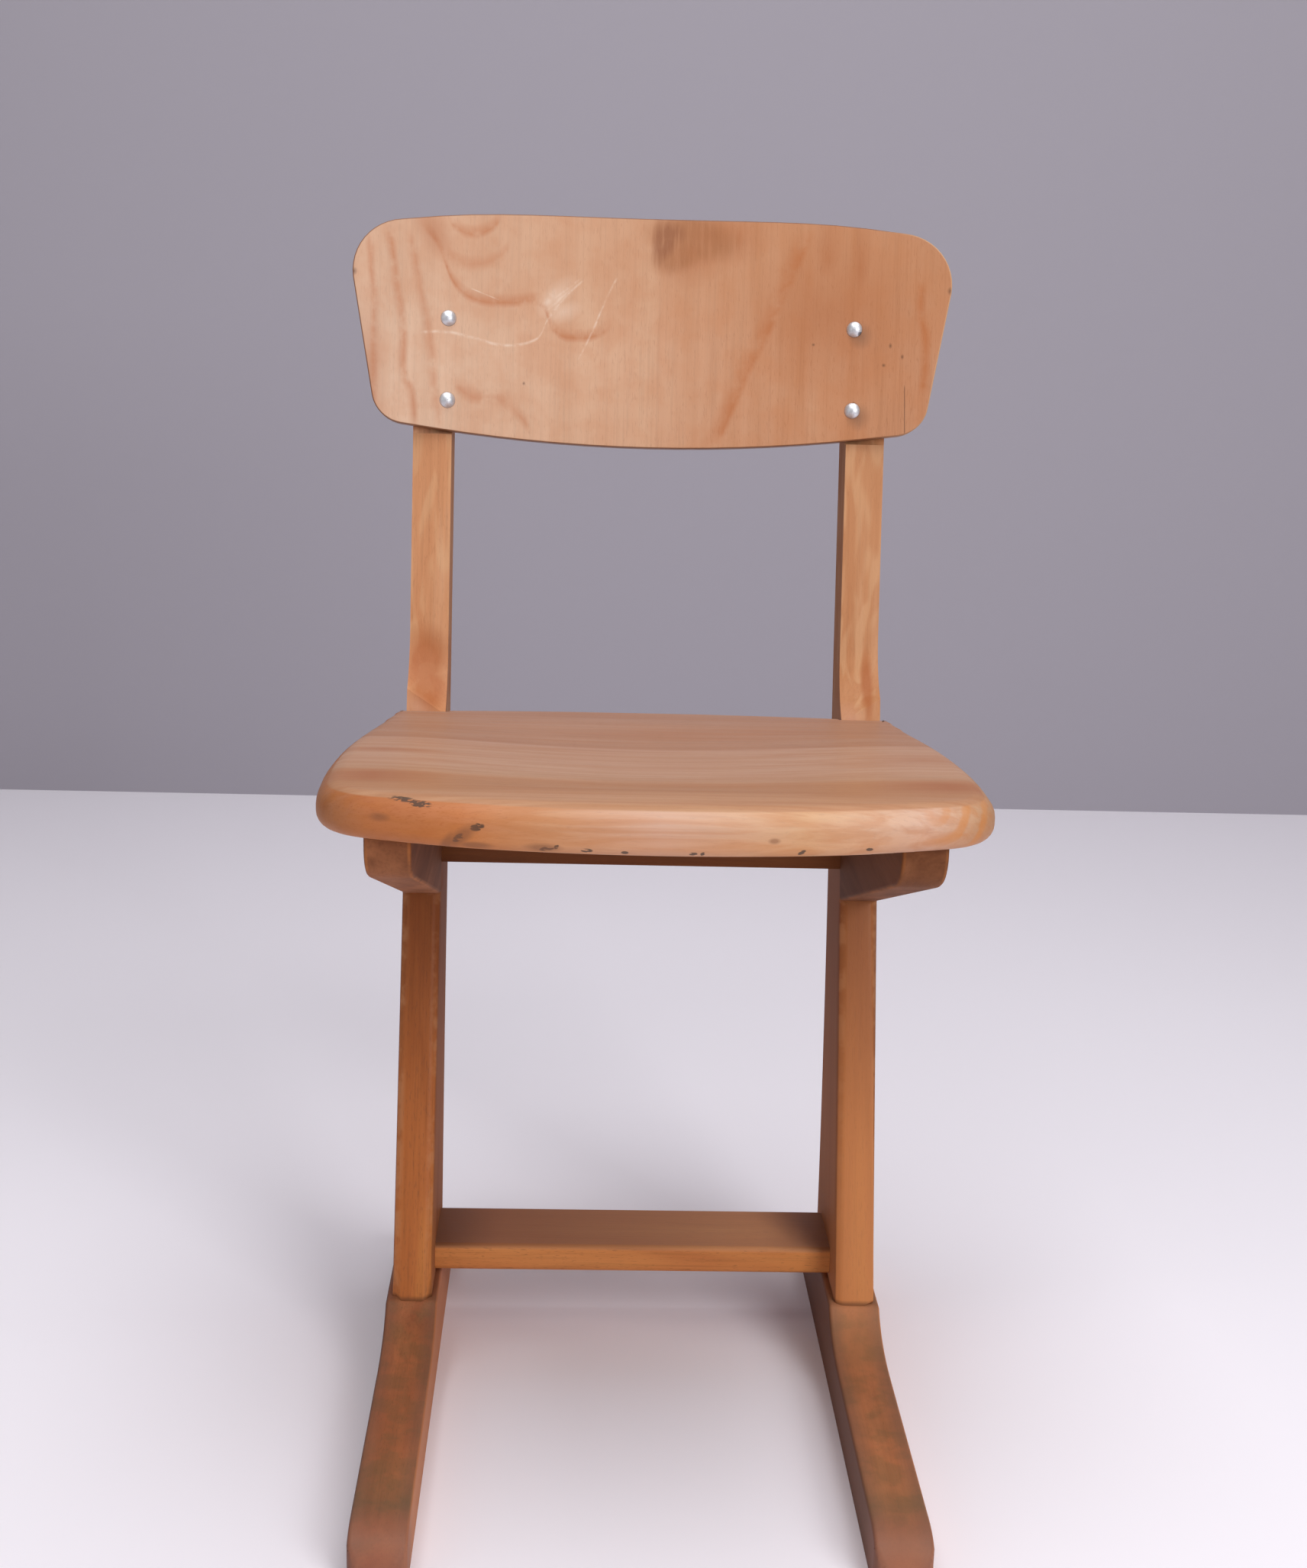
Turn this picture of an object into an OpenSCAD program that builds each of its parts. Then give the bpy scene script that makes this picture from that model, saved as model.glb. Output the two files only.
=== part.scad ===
// School chair on two runners, in beech. Millimetres, +Z up, +Y to the back of the chair.
// Origin: middle of the floor rectangle under the chair. Left means -X, as seen from the front.

/* [Side frames] */
// Distance between the outer faces of the two legs
frame_w = 320; // [260:1:420]
// Thickness of the leg and bearer boards
board_t = 26; // [22:1:34]
// Backward lean of the leg's front face, in degrees
leg_lean = 17; // [13:0.5:20]
// Depth of the leg, front to back, where it stands on the foot
leg_depth = 112; // [95:1:125]
// Depth of the back post, front to back
post_depth = 37; // [32:1:44]
// Backward lean of the back post, in degrees
post_lean = 9.5; // [6:0.5:12]
// How far the post's front face lies behind the leg's front face at seat level
post_setback = 24.5; // [20:0.5:28]
// Radius of the hollow where the post's front face runs into the leg
cove_r = 46; // [40:1:56]
// Height of the middle of that hollow above the seat's back edge
cove_rise = 72; // [66:1:84]
// Slant of that hollow across the post, low at the inner face, in degrees
cove_slant = 30; // [0:1:35]
// Radius of the post's rounded top
post_top_r = 14; // [8:1:15]
// How far the post ends below the top edge of the backrest
post_top_gap = 15; // [6:1:30]

/* [Feet] */
// Width of each foot
foot_w = 34; // [34:1:44]
// Height of the foot under the leg
foot_h = 50; // [44:1:60]
// Height of the foot along its toe
toe_h = 31; // [26:1:38]
// Reach of the toe in front of the leg
toe_reach = 245; // [200:1:295]
// Reach of the heel behind the leg
heel_reach = 63; // [52:1:90]
// Length of the hollow slope from the leg down to the toe
foot_ramp = 58; // [46:1:80]
// Length over which the top of the toe rounds down
toe_round = 28; // [20:1:36]
// Radius of the toe's corners, seen from above
toe_corner_r = 9; // [5:1:13]
// Thickness of the tenon under the leg
tenon_t = 12; // [9:1:14]
// Length of that tenon
tenon_l = 34; // [24:1:38]
// Shoulder in front of and behind that tenon
tenon_shoulder = 14; // [8:1:20]

/* [Seat] */
// Height of the seat's underside at the front end of the bearers
seat_z = 413; // [345:1:500]
// Slope of the seat down to the back, in degrees
seat_slope = 2.8; // [0:0.2:5]
// Thickness of the seat
seat_t = 26; // [21:1:32]
// Overhang of the seat on each side, past the frame
seat_side = 31; // [20:1:45]
// Overhang of the middle of the seat's front edge, past the bearers
seat_front = 39; // [30:1:50]
// Reach of the middle of the seat's back edge, past the front of the legs
seat_back = 14; // [12:0.5:17]
// Radius of the seat's bowed front edge
seat_bow_r = 493; // [420:1:700]
// Radius of the seat's bowed sides
seat_side_r = 800; // [650:1:1200]
// Radius of the seat's bowed back edge
seat_back_bow_r = 1200; // [1000:10:2000]
// Radius of the seat's front corners
seat_front_corner_r = 44; // [30:1:55]
// Radius of the seat's back corners
seat_back_corner_r = 24; // [15:1:30]
// Rounding of the seat's upper edge
seat_edge_r = 10; // [6:0.5:11]
// Depth of the hollow in the top of the seat
seat_dish = 4; // [2:0.5:6]
// Radius of that hollow, seen from above
seat_dish_r = 125; // [100:1:140]
// Distance of the hollow's middle behind the front end of the bearers
seat_dish_y = 128; // [115:1:145]
// Distance of the seat's widest place behind the front end of the bearers
seat_widest_y = 88; // [70:1:120]

/* [Bearers and rails] */
// Reach of the seat bearers in front of the leg's lower end
bearer_reach = 173; // [140:1:205]
// Height of a bearer at its front end
bearer_nose_h = 22; // [18:1:30]
// Length over which the front end of a bearer rounds
bearer_nose_round = 26; // [16:1:34]
// Height of a bearer where it meets the leg
bearer_root_h = 92; // [84:1:108]
// Thickness of the rail under the seat
rail_t = 20; // [17:1:24]
// How far that rail reaches below the back of the seat
rail_drop = 72; // [66:1:84]
// Thickness of the footrest board
footrest_t = 19; // [16:1:24]
// Depth of the footrest board, front to back
footrest_d = 60; // [48:1:64]
// How far the footrest lies behind the lower end of the leg's front face
footrest_setback = 36; // [30:1:40]
// Height of the footrest above the top of the feet
footrest_gap = 4; // [1:0.5:12]
// Rounding of the footrest's front edges
footrest_edge_r = 4; // [1:0.5:7]

/* [Backrest] */
// Overhang of the backrest on each side, past the frame
back_side = 40; // [25:1:50]
// Height of the backrest, measured along its lean
back_h = 154.5; // [135:0.5:185]
// Height of its lower edge above the underside of the seat's back edge
back_rise = 201; // [165:1:245]
// Thickness of the backrest
back_t = 9.5; // [7:0.5:12]
// Radius to which the backrest's front face is bent
back_bend_r = 670; // [560:5:900]
// Radius of its upper corners
back_top_r = 36; // [24:1:44]
// Radius of its lower corners
back_low_r = 22; // [16:1:28]
// How much narrower each side is at the lower corners
back_taper = 13; // [6:1:22]
// Rise of the lower edge from its middle to its corners
back_low_rise = 10.5; // [6:0.5:16]
// Drop of the upper edge from its middle to its corners
back_top_drop = 8.5; // [4:0.5:14]

/* [Rivets and dowels] */
// Distance of a rivet's head from the post's inner face
rivet_inset = 3; // [2.5:0.5:5]
// Height of the lower rivets above the backrest's lower edge
rivet_low = 27.5; // [25:0.5:36]
// Distance between the lower and upper rivets
rivet_pitch = 54.5; // [45:0.5:72]
// Diameter of a rivet's shank
rivet_d = 5; // [4:0.5:6]
// Diameter of a rivet's head
rivet_head_d = 10.7; // [9:0.1:12]
// Height of a rivet's head
rivet_head_h = 2.8; // [2:0.1:3.4]
// Diameter of a rivet's clenched tail
rivet_tail_d = 9; // [8:0.5:9.5]
// Height of that tail
rivet_tail_h = 2; // [1.5:0.1:2.5]
// Outer diameter of a rivet's washer
washer_d = 12; // [11:0.5:14]
// Thickness of that washer
washer_t = 1.2; // [0.8:0.1:1.6]
// Gap between a washer and the wall of its recess
washer_gap = 0.3; // [0.1:0.1:0.6]
// Diameter of the dowels between bearer and leg
bearer_dowel_d = 10; // [8:0.5:11]
// Length of those dowels
bearer_dowel_l = 34; // [26:1:40]
// Distance of the front seat dowels from the front end of the bearers
seat_dowel_front = 43; // [36:1:70]
// Distance of the rear seat dowels from the legs
seat_dowel_rear = 66; // [50:1:95]
// Diameter of the dowels in the seat, rail and footrest
dowel_d = 8; // [6:0.5:9]
// Length of those dowels
dowel_l = 26; // [20:1:28]

/* [Hidden] */

left = false;
right = true;
$fn = 48;
hull_fn = 32;
// Facets of the large bends, fine enough to follow a radius of 700 mm
bend_fn = 720;
// A cutter reaches this far past what it cuts
past = 2;

// Places of the dowels in their joints, as shares of the joint's height or of the board's thickness or depth
bearer_dowel_drops = [0.8, 0.36];
rail_dowel_rises = [0.24, 0.79];
rail_dowel_depths = [0.65, 0.35];
footrest_dowel_depths = [0.76, 0.27];

beech = "#c98f5f";
old_varnish = "#a9683a";
dark_varnish = "#8a5632";
dowel_wood = "#d9b48a";
bright_metal = "#b9b7b2";

// Heights and depths are laid out from the lower end of the leg's front face (y = 0), then moved by in_place.
inner_x = frame_w / 2 - board_t;
mid_x = frame_w / 2 - board_t / 2;
function leg_front_y(z) = (z - foot_h) * tan(leg_lean);
function seat_under_z(y) = seat_z - (y + bearer_reach) * tan(seat_slope);

// Where the leg's front face meets the underside of the seat
seat_back_z = (seat_z + tan(seat_slope) * (foot_h * tan(leg_lean) - bearer_reach))
    / (1 + tan(seat_slope) * tan(leg_lean));
seat_back_y = leg_front_y(seat_back_z);

// The post's frame: origin on its front face at seat level, leaning back with the post
post_foot_y = seat_back_y + post_setback;
post_t = post_depth * cos(post_lean);
back_z = seat_back_z + back_rise;
post_h = back_rise / cos(post_lean) + back_h - post_top_gap;
// The leg's curved back edge runs into the straight post this far above the seat
leg_curve_top = 89;
// How high the leg's blank reaches above the seat before the post's face is cut
leg_blank_rise = 60;

// The chair's middle, front to back, comes to y = 0
chair_back_y = post_foot_y + (post_t - post_top_r) * cos(post_lean) + (post_h - post_top_r) * sin(post_lean)
    + post_top_r;
shift_y = (toe_reach - chair_back_y) / 2;

rail_z = seat_back_z - rail_drop;
rail_y = leg_front_y(rail_z);
footrest_z = foot_h + footrest_gap;

// The backrest's back face touches the post's front face at the frame's outer edge
bend_back_r = back_bend_r + back_t;
bend_axis_y = -sqrt(pow(bend_back_r, 2) - pow(frame_w / 2, 2));
rivet_turn = asin((inner_x + rivet_inset) / back_bend_r);
// The rivet's flat head touches the hollow face of the backrest at its rim
rivet_head_at = sqrt(pow(back_bend_r, 2) - pow(rivet_head_d / 2, 2));
// Floor of the washer's recess, just deep enough to be a full circle
recess_at = (post_t - bend_axis_y) / cos(rivet_turn) - (washer_d / 2 + washer_gap) * tan(rivet_turn);

function arc(c, r, a, b, n = 12) =
    [for (i = [0:n]) c + r * [cos(a + (b - a) * i / n), sin(a + (b - a) * i / n)]];
function curve(p, c, q, n = 10) =
    [for (i = [0:n]) let (t = i / n) (1 - t) * (1 - t) * p + 2 * t * (1 - t) * c + t * t * q];
function long_curve(p, c, d, q, n = 16) =
    [for (i = [0:n]) let (t = i / n, u = 1 - t)
        pow(u, 3) * p + 3 * t * u * u * c + 3 * t * t * u * d + pow(t, 3) * q];

// The point of a leaning frame, as [y, z]
function post_point(y, z) = [
    post_foot_y + y * cos(post_lean) + z * sin(post_lean),
    seat_back_z - y * sin(post_lean) + z * cos(post_lean)];

module in_place() {
    translate([0, shift_y, 0]) children();
}

// Builds the right-hand piece, and mirrors it for the left
module on_side(side) {
    if (side == right) in_place() children();
    else mirror([1, 0, 0]) in_place() children();
}

// Turns a drawing in (y, z) into a board from x0 to x1
module board(x0, x1) {
    translate([x0, 0, 0])
        rotate([90, 0, 90])
            linear_extrude(x1 - x0) children();
}

module post_frame() {
    translate([0, post_foot_y, seat_back_z])
        rotate([-post_lean, 0, 0]) children();
}

// The post's frame, moved up to the backrest's lower edge
module back_frame() {
    post_frame()
        translate([0, 0, back_rise / cos(post_lean)]) children();
}

// Origin where the leg's front face meets the seat, leaning back with that face
module leg_frame() {
    translate([0, seat_back_y, seat_back_z])
        rotate([-leg_lean, 0, 0]) children();
}

module seat_frame() {
    translate([0, -bearer_reach, seat_z])
        rotate([-seat_slope, 0, 0]) children();
}

// ---- Fasteners: one shape makes the dowel and both of its holes ----

module bearer_dowel_shape(upper) {
    z = seat_back_z - bearer_root_h * bearer_dowel_drops[upper ? 1 : 0];
    translate([mid_x, leg_front_y(z), z])
        rotate([90 - leg_lean, 0, 0])
            cylinder(d = bearer_dowel_d, h = bearer_dowel_l, center = true);
}

module seat_dowel_shape(front) {
    y = front ? seat_dowel_front : bearer_reach + seat_back_y - seat_dowel_rear;
    seat_frame()
        translate([mid_x, y, 0])
            cylinder(d = dowel_d, h = dowel_l, center = true);
}

// The upper dowel enters the bearer, the lower one the leg
module rail_dowel_shape(upper) {
    y = rail_y + rail_t * rail_dowel_depths[upper ? 1 : 0];
    z = rail_z + rail_drop * rail_dowel_rises[upper ? 1 : 0];
    translate([inner_x - dowel_l / 2, y, z])
        rotate([0, 90, 0])
            cylinder(d = dowel_d, h = dowel_l);
}

module footrest_dowel_shape(front) {
    y = footrest_setback + footrest_d * footrest_dowel_depths[front ? 1 : 0];
    translate([inner_x - dowel_l / 2, y, footrest_z + footrest_t / 2])
        rotate([0, 90, 0])
            cylinder(d = dowel_d, h = dowel_l);
}

// Z runs along a rivet, from the axis of the backrest's bend
module rivet_frame(upper) {
    back_frame()
        translate([0, bend_axis_y, rivet_low + (upper ? rivet_pitch : 0)])
            rotate([-90, 0, -rivet_turn]) children();
}

module rivet_holes() {
    for (upper = [false, true]) rivet_frame(upper) {
        translate([0, 0, rivet_head_at - past])
            cylinder(d = rivet_d, h = recess_at - rivet_head_at + 2 * past);
        translate([0, 0, recess_at])
            cylinder(d = washer_d + 2 * washer_gap, h = post_t);
    }
}

// A shallow dome on a disc, flat side down
module dome(d, h) {
    ball_r = (pow(d / 2, 2) + pow(h, 2)) / (2 * h);
    rotate_extrude()
        intersection() {
            translate([0, h - ball_r]) circle(ball_r);
            square([d, h]);
        }
}

// ---- Side frames ----

// The leg's tenon is part of the leg
module tenon_shape() {
    translate([mid_x - tenon_t / 2, tenon_shoulder, foot_h - tenon_l])
        cube([tenon_t, leg_depth - 2 * tenon_shoulder, tenon_l]);
}

// The back edge rises almost upright from the foot and bends back into the post
module leg_outline() {
    back_low = [leg_depth, foot_h];
    back_low_lean = 4;
    back_top = post_point(post_t, leg_curve_top);
    low_pull = 170;
    top_pull = 130;
    blank_z = seat_back_z + leg_blank_rise;
    polygon(concat(
        [[0, foot_h]],
        long_curve(back_low, back_low + low_pull * [tan(back_low_lean), 1],
            back_top - top_pull * [tan(post_lean), 1], back_top),
        [back_top - [post_t, 0], [leg_front_y(blank_z), blank_z]]));
}

module post_outline() {
    polygon(concat(
        [[0, -20], [post_t / 2, -20], [post_t, leg_curve_top]],
        arc([post_t - post_top_r, post_h - post_top_r], post_top_r, 0, 90),
        arc([post_top_r, post_h - post_top_r], post_top_r, 90, 180)));
}

// Cuts the post's front face, and below it the hollow that runs out on the leg's front face
module post_face_cutter() {
    post_frame()
        translate([mid_x, 0, cove_rise])
            rotate([0, -cove_slant, 0]) {
                translate([0, -cove_r, 0])
                    rotate([0, 90, 0])
                        cylinder(r = cove_r, h = 4 * board_t, center = true, $fn = 120);
                translate([-2 * board_t, -2 * cove_r, 0])
                    cube([4 * board_t, 2 * cove_r, 2 * cove_rise]);
            }
}

// A bed across the post's front face, bent as the backrest is
module backrest_bed() {
    back_frame()
        translate([0, bend_axis_y, back_low_rise / 2])
            cylinder(r = bend_back_r, h = back_h, $fn = bend_fn);
}

module leg(side) {
    color(old_varnish) on_side(side) difference() {
        union() {
            tenon_shape();
            difference() {
                board(inner_x, frame_w / 2) leg_outline();
                post_face_cutter();
            }
            board(inner_x, frame_w / 2)
                translate([post_foot_y, seat_back_z])
                    rotate(-post_lean) post_outline();
        }
        backrest_bed();
        rivet_holes();
        bearer_dowel_shape(true);
        bearer_dowel_shape(false);
        rail_dowel_shape(false);
        footrest_dowel_shape(true);
        footrest_dowel_shape(false);
    }
}

module bearer(side) {
    root = [leg_front_y(seat_back_z - bearer_root_h), seat_back_z - bearer_root_h];
    nose = [-bearer_reach, seat_z - bearer_nose_h];
    under = nose + bearer_nose_round * (root - nose) / norm(root - nose);
    color(dark_varnish) on_side(side) difference() {
        board(inner_x, frame_w / 2)
            polygon(concat(
                [[seat_back_y, seat_back_z], [-bearer_reach, seat_z]],
                curve(nose + [0, bearer_nose_h * 0.75], nose, under),
                [root]));
        bearer_dowel_shape(true);
        bearer_dowel_shape(false);
        seat_dowel_shape(true);
        seat_dowel_shape(false);
        rail_dowel_shape(true);
    }
}

// Both ends are rounded, more above than below, and both slopes up to the leg are hollow
module foot_outline() {
    toe = -toe_reach;
    heel = leg_depth + heel_reach;
    heel_flat = heel - heel_reach * 0.28;
    end_z = toe_h * 0.32;
    polygon(concat(
        curve([toe, end_z], [toe, 0], [toe + end_z, 0], 5),
        curve([heel - end_z, 0], [heel, 0], [heel, end_z], 5),
        curve([heel, end_z], [heel, toe_h], [heel_flat, toe_h], 8),
        curve([heel_flat, toe_h], [leg_depth + heel_reach * 0.2, toe_h + 1], [leg_depth, foot_h]),
        curve([0, foot_h], [-foot_ramp * 0.25, toe_h + 2], [-foot_ramp, toe_h + 1]),
        curve([toe + toe_round, toe_h], [toe, toe_h], [toe, end_z], 10)));
}

module foot_plan() {
    length = toe_reach + leg_depth + heel_reach;
    translate([mid_x - foot_w / 2, -toe_reach]) {
        translate([0, toe_corner_r]) square([foot_w, length - 2 * toe_corner_r]);
        translate([toe_corner_r, 0]) square([foot_w - 2 * toe_corner_r, length]);
        for (x = [toe_corner_r, foot_w - toe_corner_r])
            for (y = [toe_corner_r, length - toe_corner_r])
                translate([x, y]) circle(toe_corner_r);
    }
}

module foot(side) {
    color(dark_varnish) on_side(side) difference() {
        intersection() {
            board(mid_x - foot_w / 2, mid_x + foot_w / 2) foot_outline();
            linear_extrude(foot_h + past) foot_plan();
        }
        tenon_shape();
        // The mortise opens cleanly at the top of the foot
        translate([0, 0, past]) tenon_shape();
    }
}

// ---- Cross pieces ----

module footrest() {
    r = footrest_edge_r;
    color(old_varnish) in_place() difference() {
        board(-inner_x, inner_x)
            translate([footrest_setback, footrest_z])
                polygon(concat(
                    [[footrest_d, 0], [footrest_d, footrest_t]],
                    arc([r, footrest_t - r], r, 90, 180, 6),
                    arc([r, r], r, 180, 270, 6)));
        for (side = [0, 1]) mirror([side, 0, 0]) {
            footrest_dowel_shape(true);
            footrest_dowel_shape(false);
        }
    }
}

module seat_rail() {
    color(dark_varnish) in_place() difference() {
        board(-inner_x, inner_x)
            polygon([
                [rail_y, rail_z], [rail_y + rail_t, rail_z],
                [rail_y + rail_t, seat_under_z(rail_y + rail_t)], [rail_y, seat_under_z(rail_y)]]);
        for (side = [0, 1]) mirror([side, 0, 0]) {
            rail_dowel_shape(true);
            rail_dowel_shape(false);
        }
    }
}

// ---- Seat ----

// Seen from above, with the bearers' front end at y = 0
module seat_plan() {
    back = (bearer_reach + seat_back_y) / cos(seat_slope) + seat_back;
    half_w = frame_w / 2 + seat_side;
    offset(seat_back_corner_r) offset(-seat_back_corner_r)
        intersection() {
            translate([-half_w, -seat_front]) square([2 * half_w, back + seat_front]);
            offset(seat_front_corner_r) offset(-seat_front_corner_r)
                intersection() {
                    translate([0, seat_bow_r - seat_front]) circle(seat_bow_r, $fn = 240);
                    translate([seat_side_r - half_w, seat_widest_y]) circle(seat_side_r, $fn = 240);
                    translate([half_w - seat_side_r, seat_widest_y]) circle(seat_side_r, $fn = 240);
                }
        }
}

module seat_blank() {
    low_r = seat_edge_r / 2;
    hull() {
        linear_extrude(seat_t) offset(-seat_edge_r) seat_plan();
        translate([0, 0, seat_t / 2])
            linear_extrude(seat_t / 2 - seat_edge_r * 0.3) offset(-seat_edge_r * 0.3) seat_plan();
        translate([0, 0, low_r]) linear_extrude(seat_t - seat_edge_r - low_r) seat_plan();
        linear_extrude(seat_t / 2) offset(-low_r) seat_plan();
    }
}

module seat() {
    ball_r = (pow(seat_dish_r, 2) + pow(seat_dish, 2)) / (2 * seat_dish);
    bow_axis_y = -sqrt(pow(seat_back_bow_r, 2) - pow(frame_w / 2, 2));
    color(beech) in_place() difference() {
        intersection() {
            seat_frame() difference() {
                seat_blank();
                translate([0, seat_dish_y, seat_t - seat_dish + ball_r]) sphere(ball_r, $fn = 360);
            }
            // The back edge is bowed, and leans back as the legs do
            leg_frame()
                translate([0, bow_axis_y, -3 * seat_t])
                    cylinder(r = seat_back_bow_r, h = 6 * seat_t, $fn = bend_fn);
        }
        // It is cut straight where it meets a leg
        for (side = [0, 1]) mirror([side, 0, 0])
            leg_frame()
                translate([inner_x, 0, -3 * seat_t]) cube([board_t, 3 * seat_t, 6 * seat_t]);
        for (side = [0, 1]) mirror([side, 0, 0]) {
            seat_dowel_shape(true);
            seat_dowel_shape(false);
        }
    }
}

// ---- Backrest ----

// Drawn in (x, height), with the middle of the lower edge at the origin
module back_outline() {
    half_w = frame_w / 2 + back_side;
    top_x = half_w - back_top_r;
    low_x = half_w - back_taper - back_low_r;
    steps = 8;
    hull() {
        for (side = [-1, 1]) {
            translate([side * top_x, back_h - back_top_drop - back_top_r]) circle(back_top_r);
            translate([side * low_x, back_low_rise + back_low_r]) circle(back_low_r);
        }
        polygon(concat(
            [for (i = [-steps:steps]) [low_x * i / steps, back_low_rise * pow(i / steps, 2)]],
            [for (i = [steps:-1:-steps])
                [top_x * i / steps, back_h - back_top_drop * pow(i / steps, 4)]]));
    }
}

module backrest() {
    color(beech) in_place() difference() {
        back_frame() difference() {
            intersection() {
                rotate([90, 0, 0]) linear_extrude(160, center = true) back_outline();
                translate([0, bend_axis_y, -past])
                    cylinder(r = bend_back_r, h = back_h + 2 * past, $fn = bend_fn);
            }
            translate([0, bend_axis_y, -2 * past])
                cylinder(r = back_bend_r, h = back_h + 4 * past, $fn = bend_fn);
        }
        for (side = [0, 1]) mirror([side, 0, 0]) rivet_holes();
    }
}

// ---- Rivets, washers and dowels ----

// The shank runs from the middle of the head to the middle of the tail, so that all three are one solid
module rivet(side, upper) {
    shank_from = rivet_head_at - rivet_head_h / 2;
    tail_at = recess_at + washer_t;
    color(bright_metal) on_side(side) rivet_frame(upper) {
        translate([0, 0, rivet_head_at]) mirror([0, 0, 1]) dome(rivet_head_d, rivet_head_h);
        translate([0, 0, shank_from]) cylinder(d = rivet_d, h = tail_at + rivet_tail_h / 2 - shank_from);
        translate([0, 0, tail_at]) dome(rivet_tail_d, rivet_tail_h);
    }
}

module washer(side, upper) {
    color(bright_metal) on_side(side) rivet_frame(upper)
        translate([0, 0, recess_at]) difference() {
            cylinder(d = washer_d, h = washer_t);
            translate([0, 0, -past]) cylinder(d = rivet_d, h = washer_t + 2 * past);
        }
}

module bearer_dowel(side, upper) {
    color(dowel_wood) on_side(side) bearer_dowel_shape(upper);
}

module seat_dowel(side, front) {
    color(dowel_wood) on_side(side) seat_dowel_shape(front);
}

module rail_dowel(side, upper) {
    color(dowel_wood) on_side(side) rail_dowel_shape(upper);
}

module footrest_dowel(side, front) {
    color(dowel_wood) on_side(side) footrest_dowel_shape(front);
}

seat();
backrest();
leg(left);  // left_leg
leg(right);  // right_leg
bearer(left);  // left_bearer
bearer(right);  // right_bearer
foot(left);  // left_foot
foot(right);  // right_foot
footrest();
seat_rail();
rivet(left, true);  // left_upper_rivet
rivet(left, false);  // left_lower_rivet
rivet(right, true);  // right_upper_rivet
rivet(right, false);  // right_lower_rivet
washer(left, true);  // left_upper_washer
washer(left, false);  // left_lower_washer
washer(right, true);  // right_upper_washer
washer(right, false);  // right_lower_washer
bearer_dowel(left, true);  // left_upper_bearer_dowel
bearer_dowel(left, false);  // left_lower_bearer_dowel
bearer_dowel(right, true);  // right_upper_bearer_dowel
bearer_dowel(right, false);  // right_lower_bearer_dowel
seat_dowel(left, true);  // left_front_seat_dowel
seat_dowel(left, false);  // left_rear_seat_dowel
seat_dowel(right, true);  // right_front_seat_dowel
seat_dowel(right, false);  // right_rear_seat_dowel
rail_dowel(left, true);  // left_upper_rail_dowel
rail_dowel(left, false);  // left_lower_rail_dowel
rail_dowel(right, true);  // right_upper_rail_dowel
rail_dowel(right, false);  // right_lower_rail_dowel
footrest_dowel(left, true);  // left_front_footrest_dowel
footrest_dowel(left, false);  // left_rear_footrest_dowel
footrest_dowel(right, true);  // right_front_footrest_dowel
footrest_dowel(right, false);  // right_rear_footrest_dowel
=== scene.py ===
import math
import bmesh
import bpy
from mathutils import Matrix, Vector


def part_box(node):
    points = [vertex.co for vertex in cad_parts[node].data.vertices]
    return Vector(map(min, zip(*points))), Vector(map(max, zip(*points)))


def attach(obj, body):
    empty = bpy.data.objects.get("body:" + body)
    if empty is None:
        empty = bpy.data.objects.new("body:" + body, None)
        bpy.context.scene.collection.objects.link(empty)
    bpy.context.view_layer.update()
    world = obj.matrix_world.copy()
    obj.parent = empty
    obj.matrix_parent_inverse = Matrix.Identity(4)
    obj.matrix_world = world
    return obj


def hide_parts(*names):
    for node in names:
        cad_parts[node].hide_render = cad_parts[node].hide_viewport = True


# School chair in beech: two leaning side frames on runners, a solid seat and a bent plywood backrest.
# The seat, the posts and the front of the backrest were sanded and clear varnished again, and the
# lower frame keeps its old amber varnish. Metres, +Z up, +Y to the back. Left means -X.
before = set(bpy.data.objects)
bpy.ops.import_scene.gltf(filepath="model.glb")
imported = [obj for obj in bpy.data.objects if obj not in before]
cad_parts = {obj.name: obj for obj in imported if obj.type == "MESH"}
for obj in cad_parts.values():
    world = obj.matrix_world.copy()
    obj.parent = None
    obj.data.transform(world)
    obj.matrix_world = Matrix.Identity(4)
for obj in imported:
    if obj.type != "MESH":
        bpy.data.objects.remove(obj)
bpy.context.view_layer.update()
scene = bpy.context.scene
mm = 0.001

# Slopes of the frame: the leg's front face, the back post and the seat
leg_lean = math.radians(17)
post_lean = math.radians(9.5)
seat_slope = math.radians(2.8)
# Radius of the backrest's hollow face, and its thickness
bend_r = 670 * mm
back_t = 9.5 * mm

seat_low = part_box("seat")[0]
back_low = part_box("backrest")[0]
leg_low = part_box("right_leg")[0]
bearer_low, bearer_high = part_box("right_bearer")
foot_low, foot_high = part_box("right_foot")
# Inner face of the right leg, and the middle of the right foot
inner_x = leg_low.x
foot_x = (foot_low.x + foot_high.x) / 2
sides = ("left", "right")


def leg_front_y(z):
    return leg_low.y + (z - foot_high.z) * math.tan(leg_lean)


def seat_under_z(y):
    return bearer_high.z - (y - bearer_low.y) * math.tan(seat_slope)


# ---- Camera, floor and light ----

def place_camera():
    data = bpy.data.cameras.new("camera")
    data.lens = 48.37
    data.sensor_width = 36
    camera = bpy.data.objects.new("camera", data)
    turn = Matrix.Rotation(math.radians(-2.2), 4, "Z")
    tilt = Matrix.Rotation(math.radians(90 - 13.38), 4, "X")
    roll = Matrix.Rotation(math.radians(1.66), 4, "Z")
    camera.matrix_world = Matrix.Translation((-0.046, -1.2684, 0.709)) @ turn @ tilt @ roll
    scene.collection.objects.link(camera)
    scene.camera = camera
    scene.view_settings.view_transform = "Standard"


def area_light(name, place, aim, watts, size):
    data = bpy.data.lights.new(name, "AREA")
    data.energy = watts
    data.size = size
    lamp = bpy.data.objects.new(name, data)
    lamp.location = place
    lamp.rotation_euler = (Vector(aim) - Vector(place)).to_track_quat("-Z", "Y").to_euler()
    scene.collection.objects.link(lamp)


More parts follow.
